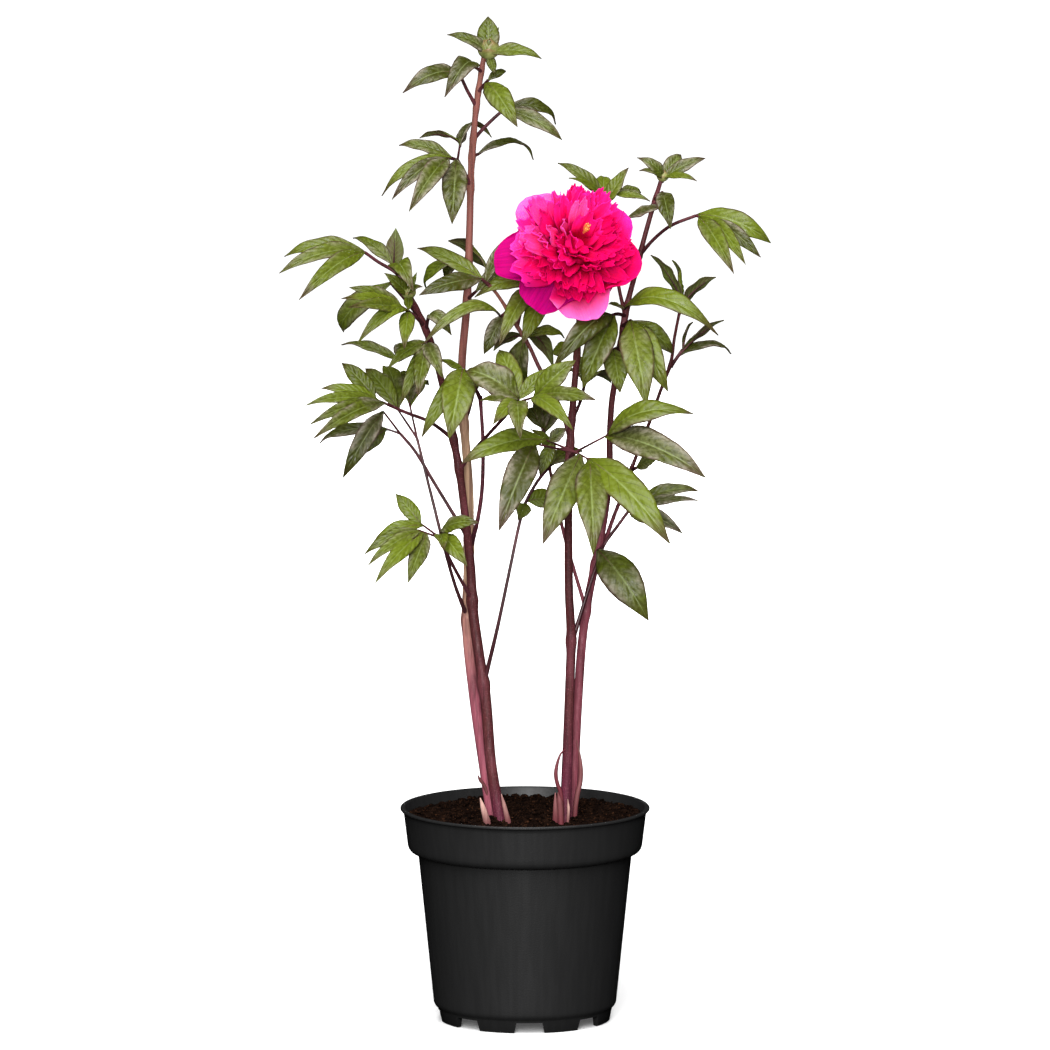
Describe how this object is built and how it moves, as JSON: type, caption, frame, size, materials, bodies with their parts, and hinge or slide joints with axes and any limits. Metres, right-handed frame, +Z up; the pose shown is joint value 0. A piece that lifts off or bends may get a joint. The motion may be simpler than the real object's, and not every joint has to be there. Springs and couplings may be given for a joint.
{
  "type": "potted herbaceous peony",
  "caption": "Herbaceous peony with divided leaves, unopened buds and a double bloom, growing in a round nursery pot of soil.",
  "frame": {"origin": "centre of the pot's foot, on the surface that the pot stands on", "axes": "+Z up along the pot's axis and the plant's height; -Y is the front, which the bloom faces; +X is to the viewer's right"},
  "size_m": [0.373, 0.2808, 0.7696],
  "materials": {
    "pot": "matte black moulded plastic with faint vertical streaks",
    "soil": "dark crumbly peat soil",
    "stem": "satin dark purple-red plant stem, paler and pinker low down",
    "leaf": "satin mid-green leaf with bronze-purple margins and pale veins",
    "bud": "satin yellow-green bud scales tinged with red",
    "petal": "soft magenta-pink petal, paler at the edges",
    "sheath": "dry pale pink papery sheath"
  },
  "bodies": {
    "root": {"pot": "pot", "soil": "soil", "stem_tall": "stem", "stem_left": "stem", "stem_bloom": "stem", "stem_right": "stem", "leaf_tall_1": "leaf", "leaf_tall_2": "leaf", "leaf_tall_3": "leaf", "leaf_tall_4": "leaf", "leaf_tall_5": "leaf", "leaf_tall_6": "leaf", "leaf_tall_7": "leaf", "leaf_tall_8": "leaf", "leaf_tall_9": "leaf", "leaf_tall_10": "leaf", "leaf_tall_11": "leaf", "leaf_tall_12": "leaf", "leaf_left_1": "leaf", "leaf_left_2": "leaf", "leaf_left_3": "leaf", "leaf_left_4": "leaf", "leaf_left_5": "leaf", "leaf_left_6": "leaf", "leaf_left_7": "leaf", "leaf_left_8": "leaf", "leaf_left_9": "leaf", "leaf_left_10": "leaf", "leaf_bloom_1": "leaf", "leaf_bloom_2": "leaf", "leaf_bloom_3": "leaf", "leaf_bloom_4": "leaf", "leaf_bloom_5": "leaf", "leaf_bloom_6": "leaf", "leaf_bloom_7": "leaf", "leaf_bloom_8": "leaf", "leaf_right_1": "leaf", "leaf_right_2": "leaf", "leaf_right_3": "leaf", "leaf_right_4": "leaf", "leaf_right_5": "leaf", "leaf_right_6": "leaf", "leaf_right_7": "leaf", "leaf_right_8": "leaf", "leaf_right_9": "leaf", "leaf_right_10": "leaf", "leaf_right_11": "leaf", "leaf_right_12": "leaf", "bud_tall": "bud", "bud_left": "bud", "bud_right": "bud", "bloom_sepals": "bud", "bloom_petals": "petal", "sheath_pale": "sheath", "sheath_left": "sheath", "sheath_right": "sheath"}
  },
  "joints": []
}
